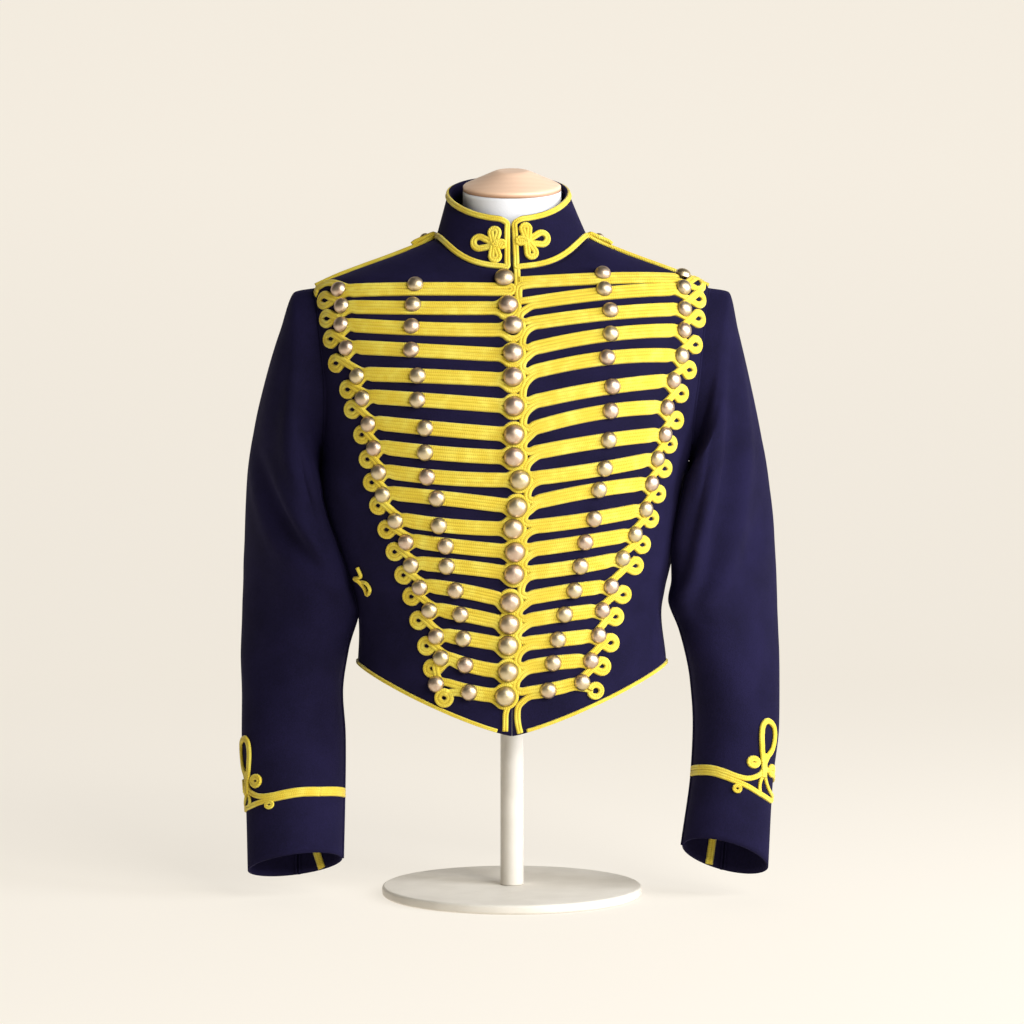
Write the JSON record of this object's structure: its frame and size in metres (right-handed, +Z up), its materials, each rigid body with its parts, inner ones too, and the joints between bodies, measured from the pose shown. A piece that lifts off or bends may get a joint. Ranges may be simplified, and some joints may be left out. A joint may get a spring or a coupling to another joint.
{
  "type": "hussar tunic on dress form",
  "caption": "Short navy wool hussar tunic with yellow braid frogging, domed brass buttons, stand collar and braided cuffs, worn by a limbless dress form on a round stand.",
  "frame": {"origin": "middle of the underside of the stand's base, on the floor", "axes": "+Z up, the tunic's front faces -Y, +X to the viewer's right when looking at its front"},
  "size_m": [0.588, 0.285, 0.7849],
  "materials": {
    "navy_wool": "napped wool",
    "yellow_braid": "woven braid",
    "brass": "satin, aged",
    "white_jersey": "fine knit",
    "turned_wood": "satin",
    "cream_paint": "satin"
  },
  "bodies": {
    "root": {"front_left": "navy_wool", "back_left": "navy_wool", "sleeve_top_left": "navy_wool", "sleeve_under_left": "navy_wool", "front_right": "navy_wool", "back_right": "navy_wool", "sleeve_top_right": "navy_wool", "sleeve_under_right": "navy_wool", "collar": "navy_wool", "collar_braid": "yellow_braid", "waist_knot": "yellow_braid", "collar_knot_left": "yellow_braid", "frogging_left": "yellow_braid", "shoulder_cord_left": "yellow_braid", "hem_cord_left": "yellow_braid", "cuff_braid_left": "yellow_braid", "cuff_tape_left": "yellow_braid", "shoulder_button_left": "brass", "collar_knot_right": "yellow_braid", "frogging_right": "yellow_braid", "shoulder_cord_right": "yellow_braid", "hem_cord_right": "yellow_braid", "cuff_braid_right": "yellow_braid", "cuff_tape_right": "yellow_braid", "shoulder_button_right": "brass", "button_centre_01": "brass", "button_centre_02": "brass", "button_centre_03": "brass", "button_centre_04": "brass", "button_centre_05": "brass", "button_centre_06": "brass", "button_centre_07": "brass", "button_centre_08": "brass", "button_centre_09": "brass", "button_centre_10": "brass", "button_centre_11": "brass", "button_centre_12": "brass", "button_centre_13": "brass", "button_centre_14": "brass", "button_centre_15": "brass", "button_centre_16": "brass", "button_centre_17": "brass", "button_centre_18": "brass", "form_torso": "white_jersey", "form_cap": "turned_wood", "form_pole": "cream_paint", "form_base": "cream_paint"}
  },
  "joints": []
}
